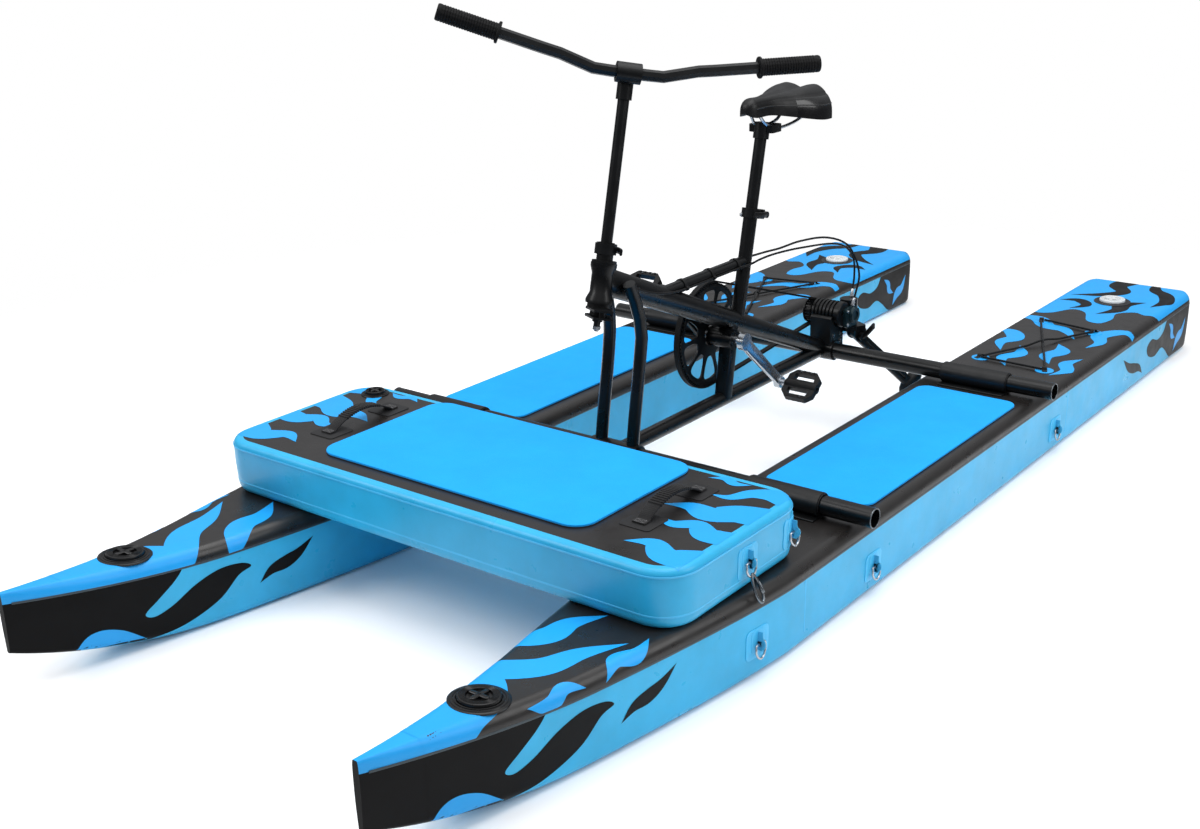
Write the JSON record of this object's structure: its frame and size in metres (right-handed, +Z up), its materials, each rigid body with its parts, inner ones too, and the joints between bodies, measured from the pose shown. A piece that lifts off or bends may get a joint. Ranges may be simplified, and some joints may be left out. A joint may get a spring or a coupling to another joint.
{
  "type": "pontoon water bike",
  "caption": "Pedal water bike with two blue inflatable pontoons, a padded front platform, a bicycle frame on cross beams and a belt-driven propeller leg behind the seat.",
  "frame": {"origin": "middle of the length and width, on the undersides of the pontoons", "axes": "+Z up, bows towards -Y, the rider's left side towards +X"},
  "size_m": [1.17, 2.937, 1.0371],
  "materials": {
    "float_skin": "coated fabric skin, satin, cyan sides with dark printed decks",
    "deck_foam": "soft foam sheet with a fine texture",
    "black_plastic": "moulded, fine grain",
    "pale_plastic": "moulded, pale grey",
    "webbing": "woven strap",
    "cord": "braided elastic cord",
    "black_metal": "black anodised or coated, satin",
    "frame_paint": "gloss black paint",
    "sleeve_rubber": "black coated fabric and rubber",
    "grip_rubber": "soft black rubber",
    "belt_rubber": "matt black belt rubber",
    "saddle_skin": "black synthetic cover",
    "bright_metal": "bright satin",
    "teal_metal": "dark blue-green anodised"
  },
  "bodies": {
    "boat": {"bottom_bracket": "frame_paint", "bungee_cord_left": "cord", "bungee_cord_right": "cord", "deck_pad_left": "deck_foam", "deck_pad_right": "deck_foam", "drive_belt": "belt_rubber", "drive_bracket": "black_metal", "float_left": "float_skin", "float_right": "float_skin", "front_beam": "frame_paint", "front_cradle": "frame_paint", "front_sleeve_left": "sleeve_rubber", "front_sleeve_right": "sleeve_rubber", "gearbox": "black_metal", "gearbox_plate": "teal_metal", "head_tube": "frame_paint", "lower_tube": "frame_paint", "main_tube": "frame_paint", "platform": "float_skin", "platform_handle_left": "webbing", "platform_handle_right": "webbing", "platform_pad": "deck_foam", "rear_beam": "frame_paint", "rear_sleeve_left": "sleeve_rubber", "rear_sleeve_right": "sleeve_rubber", "seat_clamp": "black_metal", "seat_tube": "frame_paint", "steering_cable_left": "black_plastic", "steering_cable_right": "black_plastic", "tie_hook_left": "black_metal", "tie_hook_right": "black_metal", "top_tube": "frame_paint"},
    "steering": {"steering_plates": "black_metal", "steerer_sleeve": "black_metal"},
    "post_lever": {"post_lever": "black_metal"},
    "bar": {"stem_post": "black_metal", "handlebar": "black_metal", "hand_grip_left": "grip_rubber", "hand_grip_right": "grip_rubber"},
    "seat": {"seat_post": "black_metal", "saddle_clamp": "black_metal", "saddle_rails": "bright_metal", "saddle": "saddle_skin"},
    "seat_lever": {"seat_lever": "black_metal"},
    "crank": {"crank_spindle": "bright_metal", "crank_arm_left": "bright_metal", "crank_arm_right": "black_metal", "belt_ring": "black_metal"},
    "pedal_left": {"pedal_left": "black_plastic"},
    "pedal_right": {"pedal_right": "black_plastic"},
    "pulley": {"drive_pulley": "black_metal"},
    "yoke": {"steering_yoke": "black_metal"},
    "leg": {"drive_leg": "black_metal"},
    "propeller": {"propeller": "black_plastic"},
    "tilt_lever": {"tilt_lever": "black_metal"},
    "valve_bow_left": {"valve_cap_bow_left": "black_plastic"},
    "valve_bow_right": {"valve_cap_bow_right": "black_plastic"},
    "valve_stern_left": {"valve_cap_stern_left": "pale_plastic"},
    "valve_stern_right": {"valve_cap_stern_right": "pale_plastic"},
    "valve_platform": {"valve_cap_platform": "black_plastic"}
  },
  "joints": [
    {"name": "steering_turn", "type": "hinge", "parent": "boat", "child": "steering", "pos_m": [0.018, -0.4375, 0.49], "axis": [0, 0.2317, 0.9728], "range_deg": [-96, 4]},
    {"name": "post_lever_swing", "type": "hinge", "parent": "steering", "child": "post_lever", "pos_m": [0.00845, -0.38014, 0.58119], "axis": [0.6947, 0.6998, -0.1667], "range_deg": [-150, 0]},
    {"name": "bar_height", "type": "slide", "parent": "steering", "child": "bar", "axis": [0, 0.2317, 0.9728], "range_m": [-0.03, 0.06]},
    {"name": "seat_height", "type": "slide", "parent": "boat", "child": "seat", "axis": [0, 0.225, 0.9744], "range_m": [-0.09, 0.06]},
    {"name": "seat_lever_swing", "type": "hinge", "parent": "boat", "child": "seat_lever", "pos_m": [0.0363, 0.11917, 0.55562], "axis": [1, 0, 0], "range_deg": [-150, 0]},
    {"name": "crank_spin", "type": "hinge", "parent": "boat", "child": "crank", "pos_m": [0.018, -0.0155, 0.314], "axis": [1, 0, 0], "continuous": true},
    {"name": "pedal_left_spin", "type": "hinge", "parent": "crank", "child": "pedal_left", "pos_m": [0.018, 0.10471, 0.19379], "axis": [1, 0, 0], "continuous": true},
    {"name": "pedal_right_spin", "type": "hinge", "parent": "crank", "child": "pedal_right", "pos_m": [0.018, -0.13571, 0.43421], "axis": [1, 0, 0], "continuous": true},
    {"name": "pulley_spin", "type": "hinge", "parent": "boat", "child": "pulley", "pos_m": [0.018, 0.4295, 0.261], "axis": [1, 0, 0], "continuous": true},
    {"name": "yoke_turn", "type": "hinge", "parent": "boat", "child": "yoke", "pos_m": [0.046, 0.4825, 0.222], "axis": [0, 0, 1], "range_deg": [-3, 64]},
    {"name": "leg_tilt", "type": "hinge", "parent": "yoke", "child": "leg", "pos_m": [0.05813, 0.50321, 0.197], "axis": [0.8629, -0.5054, 0], "range_deg": [-46.5, 20]},
    {"name": "propeller_spin", "type": "hinge", "parent": "leg", "child": "propeller", "pos_m": [0.14772, 0.65616, 0.0729], "axis": [0.3479, 0.594, 0.7254], "continuous": true},
    {"name": "tilt_lever_swing", "type": "hinge", "parent": "yoke", "child": "tilt_lever", "pos_m": [0.07539, 0.4931, 0.197], "axis": [0.8629, -0.5054, 0], "range_deg": [-20, 60]},
    {"name": "valve_bow_left_turn", "type": "hinge", "parent": "boat", "child": "valve_bow_left", "pos_m": [0.41, -1.2325, 0.16212], "axis": [0, 0.0794, 0.9968], "range_deg": [0, 90]},
    {"name": "valve_bow_right_turn", "type": "hinge", "parent": "boat", "child": "valve_bow_right", "pos_m": [-0.41, -1.2325, 0.16212], "axis": [0, 0.0794, 0.9968], "range_deg": [0, 90]},
    {"name": "valve_stern_left_turn", "type": "hinge", "parent": "boat", "child": "valve_stern_left", "pos_m": [0.41, 1.2475, 0.154], "axis": [0, 0, 1], "range_deg": [0, 90]},
    {"name": "valve_stern_right_turn", "type": "hinge", "parent": "boat", "child": "valve_stern_right", "pos_m": [-0.41, 1.2475, 0.154], "axis": [0, 0, 1], "range_deg": [0, 90]},
    {"name": "valve_platform_turn", "type": "hinge", "parent": "boat", "child": "valve_platform", "pos_m": [-0.46, -0.5775, 0.2583], "axis": [0, 0, 1], "range_deg": [0, 90]}
  ],
  "couplings": [
    {"joint": "pulley_spin", "follows": "crank_spin", "ratio": 4.4},
    {"joint": "propeller_spin", "follows": "crank_spin", "ratio": 8.8},
    {"joint": "yoke_turn", "follows": "steering_turn", "ratio": -0.66}
  ]
}
